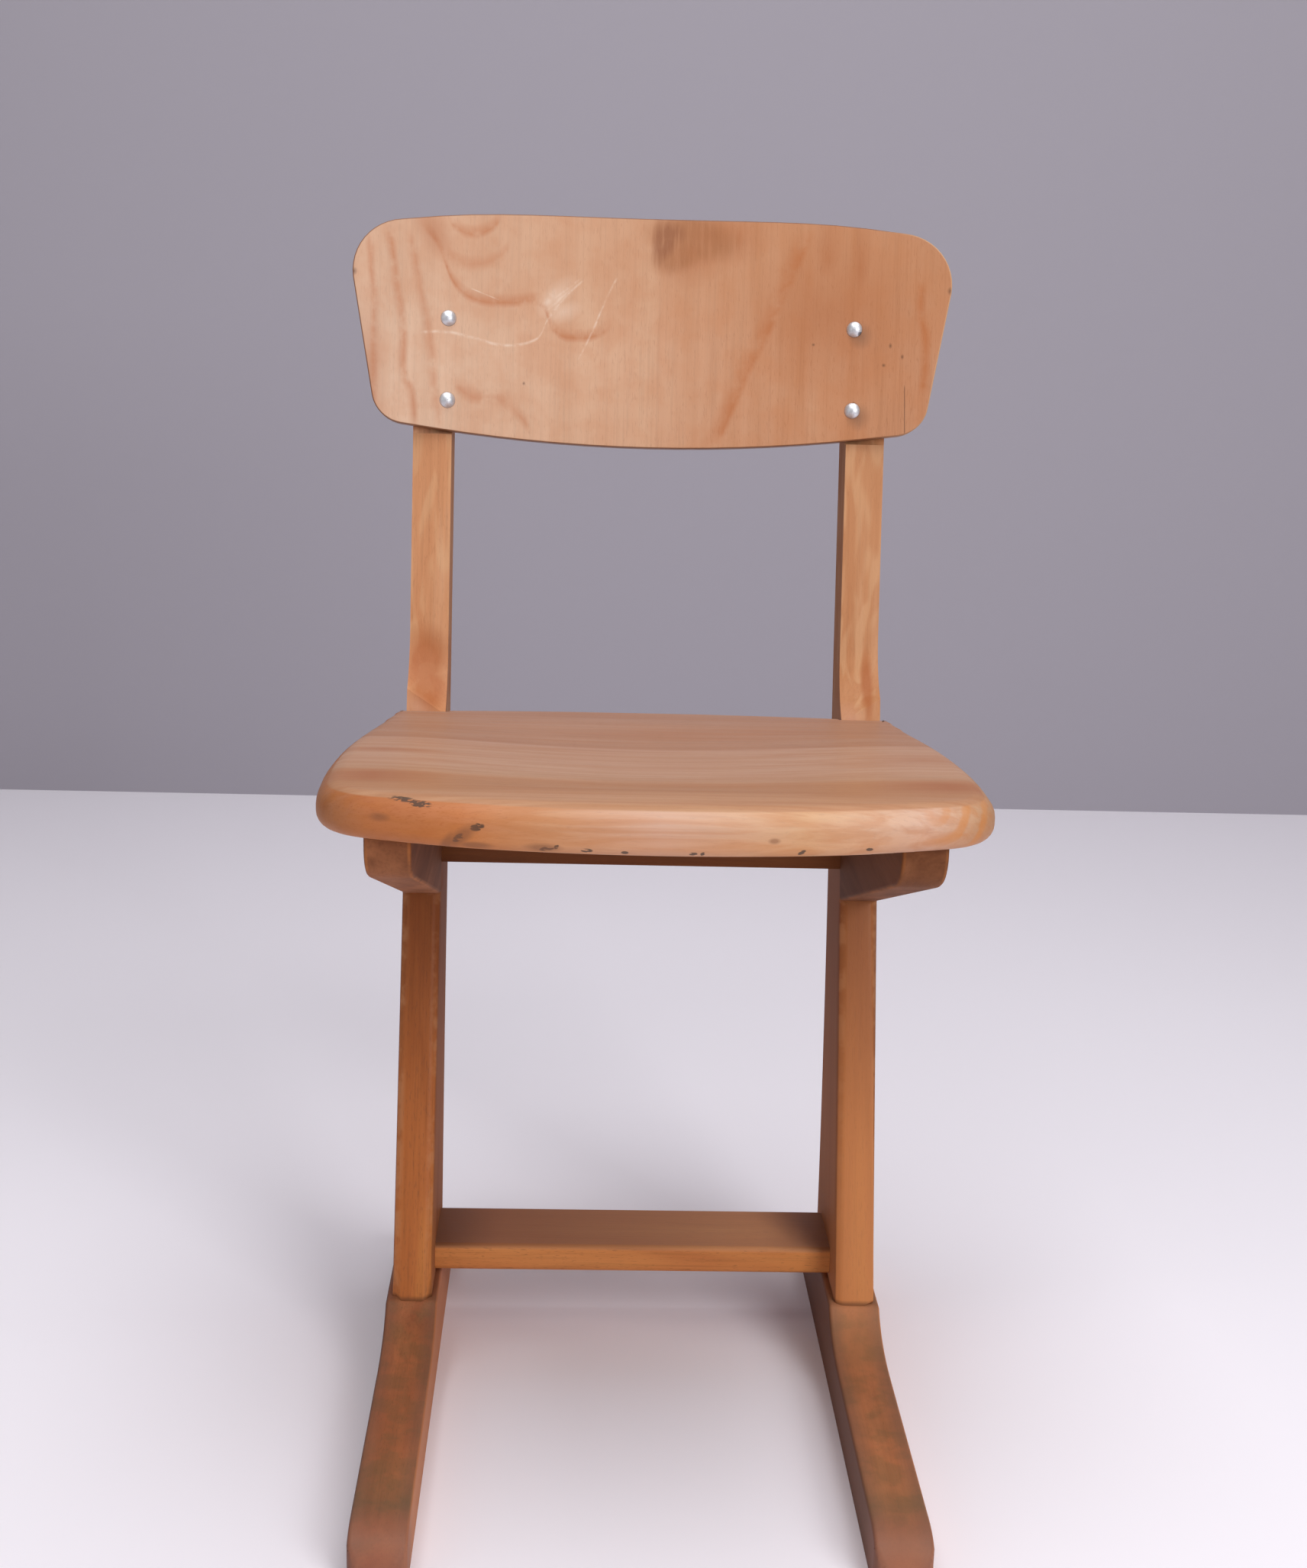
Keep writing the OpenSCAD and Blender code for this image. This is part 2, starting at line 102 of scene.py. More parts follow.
def linear(hex_colour):
    """sRGB hex to linear RGBA."""
    shares = [int(hex_colour[i:i + 2], 16) / 255 for i in (1, 3, 5)]
    return [c / 12.92 if c <= 0.04045 else ((c + 0.055) / 1.055) ** 2.4 for c in shares] + [1.0]


def node(tree, kind, values=None, stops=None, curve=None, **settings):
    """Adds a node and returns its outputs. Values are keyed by input name or number, and a socket given as
    a value is linked. Stops are a ramp's (place, hex or grey), and curve is a float curve's points."""
    made = tree.nodes.new(kind)
    for name, setting in settings.items():
        setattr(made, name, setting)
    for key, value in (values or {}).items():
        if isinstance(value, bpy.types.NodeSocket):
            tree.links.new(value, made.inputs[key])
        else:
            made.inputs[key].default_value = linear(value) if isinstance(value, str) else value
    if stops:
        ramp = made.color_ramp.elements
        while len(ramp) < len(stops):
            ramp.new(0.5)
        for element, (place, tone) in zip(ramp, stops):
            element.position = place
            element.color = linear(tone) if isinstance(tone, str) else (tone, tone, tone, 1.0)
    if curve:
        points = made.mapping.curves[0].points
        while len(points) < len(curve):
            points.new(0.5, 0.5)
        for point, place in zip(points, curve):
            point.location = place
        made.mapping.update()
    return made.outputs


def new_material(name):
    material = bpy.data.materials.new(name)
    material.use_nodes = True
    material.node_tree.nodes.clear()
    return material, material.node_tree


def stage():
    """A pale floor, a soft grey backdrop far behind it, and soft light from the right and front."""
    half_size = 6
    for name, tone, behind in (("floor", "#f8f4fc", None), ("backdrop", "#a5a0aa", 1.6)):
        material, tree = new_material(name + "_paint")
        shader = node(tree, "ShaderNodeBsdfPrincipled", {"Base Color": linear(tone), "Roughness": 0.8})
        node(tree, "ShaderNodeOutputMaterial", {"Surface": shader[0]})
        sheet = bmesh.new()
        bmesh.ops.create_grid(sheet, x_segments=1, y_segments=1, size=half_size)
        if behind:
            bmesh.ops.rotate(sheet, verts=sheet.verts, matrix=Matrix.Rotation(math.radians(90), 3, "X"))
            bmesh.ops.translate(sheet, verts=sheet.verts, vec=(0, behind, 0))
        mesh = bpy.data.meshes.new(name)
        sheet.to_mesh(mesh)
        sheet.free()
        mesh.materials.append(material)
        obj = bpy.data.objects.new(name, mesh)
        scene.collection.objects.link(obj)
    area_light("window_light", (1.15, -1.9, 1.35), (0, 0, 0.42), 27, 1.0)
    area_light("fill_light", (-1.7, -1.3, 1.2), (0, 0, 0.4), 4, 1.4)
    area_light("ceiling_light", (0.1, -0.5, 2.7), (0, 0, 0.4), 50, 2.2)
    world = bpy.data.worlds.new("room")
    world.use_nodes = True
    world.node_tree.nodes.clear()
    sky = node(world.node_tree, "ShaderNodeBackground", {"Color": linear("#f3efee"), "Strength": 0.22})
    node(world.node_tree, "ShaderNodeOutputWorld", {"Surface": sky[0]})
    scene.world = world


# ---- Wood ----

def coordinates(tree):
    """Place on the chair in metres, its X, Y and Z, and the X, Y and Z of the surface's direction."""
    spot = node(tree, "ShaderNodeTexCoord")["Object"]
    axes = node(tree, "ShaderNodeSeparateXYZ", {0: spot})
    facing = node(tree, "ShaderNodeNewGeometry")["Normal"]
    normal = node(tree, "ShaderNodeSeparateXYZ", {0: facing})
    return spot, axes, normal


def product(tree, one, other):
    return node(tree, "ShaderNodeMath", {0: one, 1: other}, operation="MULTIPLY")[0]


def ramped(tree, value, low, high, start=0.0, end=1.0, smooth=False):
    """Goes from start to end while the value goes from low to high, and stays level beyond."""
    return node(tree, "ShaderNodeMapRange",
                {"Value": value, "From Min": low, "From Max": high, "To Min": start, "To Max": end},
                interpolation_type="SMOOTHSTEP" if smooth else "LINEAR")[0]


def on_right(tree, axes):
    """1 on the right half of the chair."""
    return node(tree, "ShaderNodeMath", {0: axes[0], 1: 0.0}, operation="GREATER_THAN")[0]


def laid_on(tree, colour, tone, mask, share):
    """Lays a tone over a colour where the mask is 1, up to this share."""
    amount = product(tree, mask, share)
    return node(tree, "ShaderNodeMix", {0: amount, 6: colour, 7: tone}, data_type="RGBA")[2]


def grained(tree, spot, axis, lean, length, width, seed, detail=2.0, warp=0.0):
    """Noise drawn out along the grain: features are length by width millimetres."""
    size = [width * mm] * 3
    size["XYZ".index(axis)] = length * mm
    stretched = node(tree, "ShaderNodeMapping",
                     {"Vector": spot, "Location": (seed, seed * 0.7, seed * 0.3), "Rotation": (-lean, 0, 0),
                      "Scale": size}, vector_type="TEXTURE")
    return node(tree, "ShaderNodeTexNoise",
                {"Vector": stretched[0], "Scale": 1.0, "Detail": detail, "Roughness": 0.55,
                 "Distortion": warp})["Fac"]


def beech(tree, spot, axis, lean, tones, seed, streak=0.3, fleck=0.35):
    """Beech: broad bands, fine streaks and the short brown flecks of its rays. Returns colour and height.
    The flecks, really 1 to 3 mm long, are drawn coarser so that they show."""
    bands = grained(tree, spot, axis, lean, 260, 20, seed, 3.0, 0.5)
    colour = node(tree, "ShaderNodeValToRGB", {0: bands}, stops=tones)[0]
    streaks = grained(tree, spot, axis, lean, 70, 1.7, seed + 1, 4.0)
    shade = node(tree, "ShaderNodeValToRGB", {0: streaks}, stops=[(0.36, 0.55), (0.47, 0.88), (0.6, 1.0)])
    colour = node(tree, "ShaderNodeMix", {0: streak, 6: colour, 7: shade[0]},
                  data_type="RGBA", blend_type="MULTIPLY")[2]
    rays = grained(tree, spot, axis, lean, 5.5, 0.8, seed + 2, 1.0)
    dashes = node(tree, "ShaderNodeValToRGB", {0: rays}, stops=[(0.6, 0.0), (0.7, 1.0)])[0]
    colour = laid_on(tree, colour, "#7a4a2c", dashes, fleck)
    height = node(tree, "ShaderNodeMath", {0: dashes, 1: -0.5, 2: streaks}, operation="MULTIPLY_ADD")[0]
    return colour, height


def varnished(tree, colour, height, roughness, coat, shine=0.25):
    """Principled surface with the grain just felt through the varnish."""
    bump = node(tree, "ShaderNodeBump", {"Height": height, "Distance": 0.12 * mm, "Strength": 0.5})
    shader = node(tree, "ShaderNodeBsdfPrincipled",
                  {"Base Color": colour, "Roughness": roughness, "IOR": 1.5, "Specular IOR Level": shine,
                   "Coat Weight": coat, "Coat Roughness": 0.35, "Coat IOR": 1.45, "Normal": bump[0]})
    node(tree, "ShaderNodeOutputMaterial", {"Surface": shader[0]})


def patches(tree, spot, size, low, high, seed):
    """Uneven patches, 0 to 1, about this many millimetres across."""
    shifted = node(tree, "ShaderNodeMapping", {"Vector": spot, "Location": (seed, seed, -seed)})
    noise = node(tree, "ShaderNodeTexNoise",
                 {"Vector": shifted[0], "Scale": 1 / (size * mm), "Detail": 3.0, "Roughness": 0.6})["Fac"]
    return ramped(tree, noise, low, high, smooth=True)


def spots(tree, spot, marks):
    """Soft oval marks seen from the front: x, z, half length, half width in mm, and slant in degrees."""
    total = 0.0
    for x, z, length, width, slant in marks:
        place = node(tree, "ShaderNodeMapping",
                     {"Vector": spot, "Location": (x * mm, 0, z * mm),
                      "Rotation": (0, -math.radians(slant), 0), "Scale": (length * mm, 1000, width * mm)},
                     vector_type="TEXTURE")[0]
        oval = node(tree, "ShaderNodeTexGradient", {0: place}, gradient_type="SPHERICAL")["Fac"]
        total = node(tree, "ShaderNodeMath", {0: oval, 1: total}, operation="MAXIMUM")[0]
    return total


def rubbed_arris(tree, spot, size, low, high, seed):
    """The rounded edges, broken up into patches, where hands and cloth have rubbed them."""
    arris = node(tree, "ShaderNodeAttribute", attribute_name="arris")["Fac"]
    uneven = patches(tree, spot, size, low, high, seed)
    return product(tree, arris, uneven)


def drawn_line(tree, run, off, points, soft_before, soft_after, fade=0.08):
    """A line through given points (run, off) in mm: 1 on the line, fading over two widths beside it."""
    first, last = points[0][0], points[-1][0]
    offs = [p[1] for p in points]
    low, high = min(offs), max(offs)
    share = ramped(tree, run, first * mm, last * mm)
    shape = [((a - first) / (last - first), (b - low) / (high - low)) for a, b in points]
    path = node(tree, "ShaderNodeFloatCurve", {"Value": share}, curve=shape)[0]
    centre = ramped(tree, path, 0.0, 1.0, start=low * mm, end=high * mm)
    beside = node(tree, "ShaderNodeMath", {0: off, 1: centre}, operation="SUBTRACT")[0]
    across = ramped(tree, beside, -soft_before * mm, soft_after * mm)
    peak = soft_before / (soft_before + soft_after)
    tone = node(tree, "ShaderNodeValToRGB", {0: across}, stops=[(0.0, 0.0), (peak, 1.0), (1.0, 0.0)])[0]
    ends = node(tree, "ShaderNodeValToRGB", {0: share},
                stops=[(0.0, 0.0), (fade, 1.0), (1 - fade, 1.0), (1.0, 0.0)])[0]
    return product(tree, tone, ends)


def seat_beech():
    """Seat of solid beech staves, sanded on top and clear varnished: a pale matt top of reddish, pale and
    orange staves, and a golden nose with dark stains, orange at the left and curly at the right, darker at the
    left with painted shade and paler over its right half with painted light."""
    material, tree = new_material("sanded_beech_seat")
    spot, axes, normal = coordinates(tree)
    x, y = axes[0], axes[1]
    # The staves run from side to side, so their tone goes by the depth, with joints that wander a little
    wander = grained(tree, spot, "X", 0, 190, 40, 4.0, 1.0)
    depth = node(tree, "ShaderNodeMath", {0: wander, 1: 8 * mm, 2: y}, operation="MULTIPLY_ADD")[0]
    share = ramped(tree, depth, -196 * mm, 144 * mm)
    staves = node(tree, "ShaderNodeValToRGB", {0: share}, stops=[
        (0.0, "#b8906c"), (0.05, "#ba8a68"), (0.13, "#b18260"), (0.165, "#a8744e"), (0.29, "#ae7a55"),
        (0.325, "#b18a70"), (0.4, "#b9937d"), (0.6, "#b58e79"), (0.632, "#b79381"), (0.642, "#9f7561"),
        (1.0, "#a17867")])[0]
    wood, height = beech(tree, spot, "X", 0,
                         [(0.3, "#b17d5a"), (0.55, "#bc8f6f"), (0.75, "#c49c81")], 1.3, 0.45)
    top = node(tree, "ShaderNodeMix", {0: 0.62, 6: wood, 7: staves}, data_type="RGBA")[2]
    figure = grained(tree, spot, "X", 0, 150, 5, 6.0, 3.0, 0.4)
    figure = ramped(tree, figure, 0.42, 0.62)
    top = laid_on(tree, top, "#a56c48", figure, 0.35)
    reddish = spots(tree, spot, [(-160, 428, 46, 300, 0), (165, 428, 50, 300, 0)])
    row = node(tree, "ShaderNodeValToRGB", {0: share}, stops=[
        (0.17, 0.0), (0.22, 1.0), (0.27, 1.0), (0.31, 0.0), (0.46, 0.0), (0.5, 0.7), (0.53, 0.0)])[0]
    reddish = product(tree, reddish, row)
    top = laid_on(tree, top, "#a0623e", reddish, 0.8)
    golden = beech(tree, spot, "X", 0,
                   [(0.25, "#ae7044"), (0.5, "#c78f62"), (0.75, "#d3a380")], 2.1, 0.35)[0]
    # Along the rim: orange and darker at the left, paler over the right half. This is partly the wood's tone,
    # partly painted light from the right and painted shade at the left.
    across = ramped(tree, x, seat_low.x, -seat_low.x)
    tone_and_light_across = node(tree, "ShaderNodeValToRGB", {0: across}, stops=[
        (0.0, "#8a4d24"), (0.1, "#9f4815"), (0.22, "#b55f23"), (0.35, "#c69573"), (0.5, "#cfad9c"),
        (0.7, "#cfa985"), (0.88, "#cdb0a2"), (0.95, "#b29075"), (1.0, "#997455")])[0]
    golden = node(tree, "ShaderNodeMix", {0: 0.65, 6: golden, 7: tone_and_light_across}, data_type="RGBA")[2]
    low_down = ramped(tree, axes[2], 434 * mm, 416 * mm, smooth=True)
    golden = laid_on(tree, golden, "#b9743c", low_down, 0.35)
    golden = laid_on(tree, golden, "#b06a34", figure, 0.35)
    # Curled grain round a knot at the right end of the nose
    from_knot = node(tree, "ShaderNodeMapping",
                     {"Vector": spot, "Location": (150 * mm, 0, 436 * mm), "Scale": (1, 1000, 1)},
                     vector_type="TEXTURE")[0]
    radius = node(tree, "ShaderNodeVectorMath", {0: from_knot}, operation="LENGTH")["Value"]
    loose = grained(tree, spot, "X", 0, 30, 12, 15.0)
    radius = node(tree, "ShaderNodeMath", {0: loose, 1: 6 * mm, 2: radius}, operation="MULTIPLY_ADD")[0]
    ring_gap = 12 * mm
    turns = node(tree, "ShaderNodeMath", {0: radius, 1: 2 * math.pi / ring_gap, 2: -2.6},
                 operation="MULTIPLY_ADD")[0]
    wave = node(tree, "ShaderNodeMath", {0: turns}, operation="SINE")[0]
    curled = ramped(tree, wave, -0.2, 0.9, smooth=True)
    near_knot = spots(tree, spot, [(170, 420, 34, 50, 0)])
    curled = product(tree, curled, near_knot)
    golden = laid_on(tree, golden, "#c07a3e", curled, 0.75)
    # The sander left a crisp line a little way down the rim
    is_top = ramped(tree, normal[2], 0.83, 0.89, smooth=True)
    colour = node(tree, "ShaderNodeMix", {0: is_top, 6: golden, 7: top}, data_type="RGBA")[2]
    stains = spots(tree, spot, [
        (-139, 437.5, 12, 1.6, -2), (-128, 436, 8, 1.9, 0), (-97, 427, 5, 2.6, 15),
        (-107, 420.5, 4.5, 2.2, 35), (-60, 417.5, 5, 1.7, 10), (-55, 419, 2, 1.4, 60),
        (-39, 417.5, 4, 1.5, 0), (-19, 417, 2.5, 1.2, 0), (17, 417, 3, 1.3, 0), (22, 417, 2, 1.2, 30),
        (75, 417.5, 3, 1.4, 30), (112, 418, 2.5, 1.2, 0)])
    broken = grained(tree, spot, "X", 0, 5, 1.4, 3.0)
    broken = ramped(tree, broken, 0.38, 0.5, start=0.15)
    front = ramped(tree, y, -165 * mm, -178 * mm)
    stains = product(tree, stains, broken)
    stains = product(tree, stains, front)
    stains = ramped(tree, stains, 0.12, 0.32)
    colour = laid_on(tree, colour, "#40342c", stains, 0.85)
    soaked = spots(tree, spot, [(-106, 421, 13, 5, 38), (-113, 417, 9, 4, 60), (-98, 417, 12, 2.5, 0),
                                (-62, 418, 12, 3, 0), (-150, 428, 7, 3, 0), (60, 424, 4, 2, 0)])
    soaked = product(tree, soaked, front)
    soaked = ramped(tree, soaked, 0.0, 0.6)
    colour = laid_on(tree, colour, "#7d4f34", soaked, 0.6)
    varnished(tree, colour, height, 0.52, 0.1)
    return material


def backrest_beech():
    """Bent beech plywood, rotary cut, sanded and clear varnished: a pale face, pinkish at the left and more
    orange at the right, also paler at the left with painted light and darker at the right with painted shade,
    with flame-like ring lines, chalky scratches and haze, a brown smudge, and a darker ring round the right
    rivets, partly grime and partly painted shadow under their heads."""
    material, tree = new_material("sanded_beech_plywood")
    spot, axes, normal = coordinates(tree)
    x, z = axes[0], axes[2]
    colour, height = beech(tree, spot, "Z", post_lean,
                           [(0.3, "#b9835f"), (0.52, "#c89777"), (0.75, "#d0a788")], 5.2, 0.4, 0.3)
    # Across the face: pinkish and pale at the left, orange and darker at the right. This is partly the wood's
    # tone, partly painted light on the hollow face's left half, which turns to the light at the right, and
    # painted shade on its right half.
    across = ramped(tree, x, back_low.x, -back_low.x)
    tone_and_light_across = node(tree, "ShaderNodeValToRGB", {0: across}, stops=[
        (0.0, "#d6bda6"), (0.35, "#d1ac90"), (0.6, "#c08e6d"), (0.8, "#b67a52"), (1.0, "#ae7048")])[0]
    colour = node(tree, "ShaderNodeMix", {0: 0.55, 6: colour, 7: tone_and_light_across}, data_type="RGBA")[2]
    mottled = patches(tree, spot, 24, 0.35, 0.7, 41.0)
    colour = laid_on(tree, colour, "#b87447", mottled, 0.28)
    upper = ramped(tree, z, 655 * mm, 725 * mm, smooth=True)
    colour = laid_on(tree, colour, "#b27a52", upper, 0.3)
    back_face = colour
    # Ring lines of the rotary cut veneer: what they run along and beside, points, softness and strength
    ring_lines = [
        (x, z, [(-157, 744), (-146, 732), (-130, 701), (-117, 694), (-96, 693), (-77, 694), (-67, 677),
                (-57, 671), (-37, 673), (-26, 683)], 3.5, 6.5, 0.66),
        (x, z, [(-138, 748), (-131, 740), (-122, 737), (-112, 740), (-103, 749)], 3.5, 7.2, 0.60),
        (x, z, [(-146, 733), (-135, 722), (-122, 718), (-108, 721), (-96, 738)], 5.8, 5.8, 0.36),
        (z, x, [(610, -186), (663, -186), (690, -186), (712, -188), (740, -190)], 2.9, 3.8, 0.54),
        (z, x, [(608, -158), (632, -160), (648, -166), (669, -166), (705, -171), (744, -177)],
         4.9, 3.2, 0.60),
        (z, x, [(608, -141), (633, -145), (662, -148), (698, -155), (742, -164)], 5.2, 3.8, 0.42),
        (x, z, [(-135, 646), (-122, 631), (-101, 629), (-89, 619), (-80, 608)], 5.8, 7.2, 0.48),
        (z, x, [(600, 46), (646, 64), (682, 81), (730, 101), (747, 107)], 11.6, 3.8, 0.60),
        (z, x, [(640, 183), (674, 184), (696, 180), (715, 180)], 4.3, 4.3, 0.60),
    ]
    uneven = patches(tree, spot, 14, 0.25, 0.6, 31.0)
    for run, off, points, before, after, strength in ring_lines:
        line = drawn_line(tree, run, off, points, before, after)
        line = product(tree, line, uneven)
        colour = laid_on(tree, colour, "#ad6230", line, strength)
    streaky = grained(tree, spot, "Z", post_lean, 26, 2.2, 21.0)
    streaky = ramped(tree, streaky, 0.3, 0.55, start=0.5)
    smudge = spots(tree, spot, [(4, 735, 18, 6, 88), (11, 742, 13, 9, 0), (9, 733, 15, 7, 60)])
    smudge = product(tree, smudge, streaky)
    wide = spots(tree, spot, [(27, 739, 40, 19, -8), (18, 729, 26, 15, 25)])
    wide = ramped(tree, wide, 0.0, 0.55, smooth=True)
    wide = product(tree, wide, streaky)
    brown = spots(tree, spot, [(40, 741, 46, 24, 0), (26, 729, 30, 24, 30), (58, 740, 8, 18, 0),
                               (-148, 738, 12, 22, 30), (140, 722, 10, 36, 0), (118, 728, 14, 34, 0),
                               (-190, 640, 16, 70, 0), (120, 690, 60, 60, 0)])
    colour = laid_on(tree, colour, "#a5633a", brown, 0.6)
    colour = laid_on(tree, colour, "#99623c", wide, 0.6)
    smudge = ramped(tree, smudge, 0.0, 0.6)
    colour = laid_on(tree, colour, "#8c5739", smudge, 0.7)
    scratch = drawn_line(tree, x, z, [(-156, 672), (-138, 673), (-123, 670), (-97, 665), (-79, 669),
                                      (-71, 682), (-56, 701), (-46, 710)], 1.5, 1.5, 0.03)
    cut = drawn_line(tree, z, x, [(656, -50), (676, -40), (693, -33), (712, -24)], 1.1, 1.1)
    thin = drawn_line(tree, x, z, [(-123, 702), (-103, 694.5)], 0.6, 0.6)
    white = spots(tree, spot, [(-70, 696, 9, 3.5, 60), (-62, 697, 16, 1.6, 42), (-58, 703, 15, 1.3, 38),
                               (-66, 689, 9, 2.0, 50)])
    for mark in (scratch, cut, thin):
        white = node(tree, "ShaderNodeMath", {0: white, 1: mark}, operation="MAXIMUM")[0]
    broken = patches(tree, spot, 6, 0.3, 0.68, 6.0)
    chalk = product(tree, white, broken)
    colour = laid_on(tree, colour, "#ecdccb", chalk, 0.42)
    haze = spots(tree, spot, [(-65, 698, 20, 9, 48), (-60, 688, 14, 8, 20)])
    colour = laid_on(tree, colour, "#e6d2c0", haze, 0.35)
    dark = drawn_line(tree, z, x, [(613, 172), (647, 171)], 0.5, 0.5)
    nicks = spots(tree, spot, [(161, 672, 1.3, 2.2, 0), (169, 665, 1.2, 2.0, 0), (138, 633, 1.2, 1.4, 0),
                               (110, 671, 1.4, 1.2, 0), (157, 659, 1.5, 1.5, 0), (-86, 640, 1.2, 1.5, 0),
                               (-199, 711, 2.5, 3, 0), (199, 709, 2.5, 3, 0)])
    dark = node(tree, "ShaderNodeMath", {0: dark, 1: nicks}, operation="MAXIMUM")[0]
    colour = laid_on(tree, colour, "#5a3c2a", dark, 0.8)
    # A darker ring round the right rivets' heads: partly grime, partly painted shadow under the heads.
    heads = [(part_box(name)[0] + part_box(name)[1]) / 2 for name in ("right_upper_rivet", "right_lower_rivet")]
    grime = spots(tree, spot, [(head.x / mm, head.z / mm - 1, 9, 10, 0) for head in heads])
    colour = laid_on(tree, colour, "#6f5444", grime, 0.6)
    to_front = ramped(tree, normal[1], 0.3, -0.3)
    colour = node(tree, "ShaderNodeMix", {0: to_front, 6: back_face, 7: colour}, data_type="RGBA")[2]
    # Dirt darkens the arris, and the edge shows its seven plies, rubbed pale at the right
    arris = node(tree, "ShaderNodeAttribute", attribute_name="arris")["Fac"]
    rubbed = ramped(tree, x, 150 * mm, 190 * mm)
    arris_tone = laid_on(tree, "#70452a", "#d0a67e", rubbed, 0.8)
    colour = laid_on(tree, colour, arris_tone, arris, 0.8)
    plies = 7
    axis_point = (0, back_low.y - bend_r, back_low.z)
    round_axis = node(tree, "ShaderNodeMapping",
                      {"Vector": spot, "Location": axis_point, "Rotation": (-post_lean, 0, 0)},
                      vector_type="TEXTURE")
    flat = node(tree, "ShaderNodeVectorMath", {0: round_axis[0], 1: (1, 1, 0)}, operation="MULTIPLY")
    radius = node(tree, "ShaderNodeVectorMath", {0: flat[0]}, operation="LENGTH")["Value"]
    layers = product(tree, radius, math.pi * plies / back_t)
    layers = node(tree, "ShaderNodeMath", {0: layers}, operation="SINE")[0]
    layers = ramped(tree, layers, -0.6, 0.6)
    edge_tone = node(tree, "ShaderNodeMix", {0: layers, 6: "#6d452c", 7: "#94633f"}, data_type="RGBA")[2]
    edge_tone = laid_on(tree, edge_tone, "#c79a72", rubbed, 0.7)
    edge = node(tree, "ShaderNodeAttribute", attribute_name="edge")["Fac"]
    colour = node(tree, "ShaderNodeMix", {0: edge, 6: colour, 7: edge_tone}, data_type="RGBA")[2]
    varnished(tree, colour, height, 0.48, 0.18)
    return material


def leg_beech():
    """Solid beech. The post above the seat is sanded pale, with curly figure and an orange foot. The leg
    below keeps its amber varnish, redder and darker near the seat, partly its old varnish and partly painted
    shade under the seat, and paler on the right leg."""
    material, tree = new_material("amber_varnished_beech_leg")
    spot, axes, normal = coordinates(tree)
    x, z = axes[0], axes[2]
    amber, height = beech(tree, spot, "Z", leg_lean,
                          [(0.28, "#9a5324"), (0.5, "#b56934"), (0.72, "#c67d3e")], 7.7, 0.35)
    is_right = on_right(tree, axes)
    amber = laid_on(tree, amber, "#c98450", is_right, 0.6)
    # Towards the seat the leg turns redder and darker: partly old varnish, partly painted shade under the seat.
    varnish_and_seat_shade = ramped(tree, z, 120 * mm, 300 * mm, smooth=True)
    amber = laid_on(tree, amber, "#6e3616", varnish_and_seat_shade, 0.65)
    pale = beech(tree, spot, "Z", post_lean,
                 [(0.28, "#bd7e54"), (0.5, "#c98f66"), (0.72, "#d4a37f")], 8.3, 0.25, 0.15)[0]
    curl = grained(tree, spot, "Z", post_lean, 55, 12, 18.0, 1.0, 0.8)
    curl = ramped(tree, curl, 0.48, 0.62, smooth=True)
    pale = laid_on(tree, pale, "#a56d40", is_right, 0.45)
    pale = laid_on(tree, pale, "#dcb48a", curl, 0.25)
    orange = spots(tree, spot, [(-146, 438, 18, 20, 0), (-149, 454, 20, 28, 0), (152, 446, 5, 26, 0)])
    orange = ramped(tree, orange, 0.0, 0.6)
    pale = laid_on(tree, pale, "#a2592a", orange, 0.75)
    # Painted light: the cove at the foot of each post, which turns up towards the light, is painted paler.
    lit_cove = spots(tree, spot, [(-153, 426, 18, 9, -35), (140, 424, 13, 12, 0)])
    pale = laid_on(tree, pale, "#c48f72", lit_cove, 0.8)
    sanded = ramped(tree, z, 408 * mm, 414 * mm)
    colour = node(tree, "ShaderNodeMix", {0: sanded, 6: amber, 7: pale}, data_type="RGBA")[2]
    # Old varnish is left on the faces that the sander did not reach
    sideways = node(tree, "ShaderNodeMath", {0: normal[0]}, operation="ABSOLUTE")[0]
    side_face = ramped(tree, sideways, 0.6, 0.9, smooth=True)
    colour = laid_on(tree, colour, "#7a4a2c", side_face, 0.45)
    colour = laid_on(tree, colour, "#c98f62", rubbed_arris(tree, spot, 18, 0.42, 0.62, 2.0), 0.35)
    joint = ramped(tree, z, foot_high.z + 3 * mm, foot_high.z + 0.8 * mm)
    colour = laid_on(tree, colour, "#5f3820", joint, 0.7)
    rough = ramped(tree, side_face, 0.0, 1.0, start=0.5, end=0.8)
    varnished(tree, colour, height, rough, 0.04)
    return material


def bearer_beech():
    """Solid beech under old dark red-brown varnish, with orange edges where the varnish is rubbed."""
    material, tree = new_material("dark_varnished_beech")
    spot, axes, normal = coordinates(tree)
    colour, height = beech(tree, spot, "Y", 0,
                           [(0.28, "#73452d"), (0.5, "#905b3c"), (0.72, "#a26948")], 9.1)
    colour = laid_on(tree, colour, "#b5713f", rubbed_arris(tree, spot, 20, 0.35, 0.6, 5.0), 0.7)
    is_right = on_right(tree, axes)
    colour = laid_on(tree, colour, "#4a2a14", is_right, 0.4)
    sideways = node(tree, "ShaderNodeMath", {0: normal[0]}, operation="ABSOLUTE")[0]
    side_face = ramped(tree, sideways, 0.6, 0.9)
    colour = laid_on(tree, colour, "#3d2414", side_face, 0.35)
    varnished(tree, colour, height, 0.7, 0.0, 0.1)
    return material


def rail_beech():
    """The rail under the seat, in the same dark varnish with its grain across the chair."""
    material, tree = new_material("dark_varnished_beech_rail")
    spot = coordinates(tree)[0]
    colour, height = beech(tree, spot, "X", 0,
                           [(0.28, "#613211"), (0.5, "#733e17"), (0.72, "#814a1e")], 9.9)
    varnished(tree, colour, height, 0.65, 0.03)
    return material


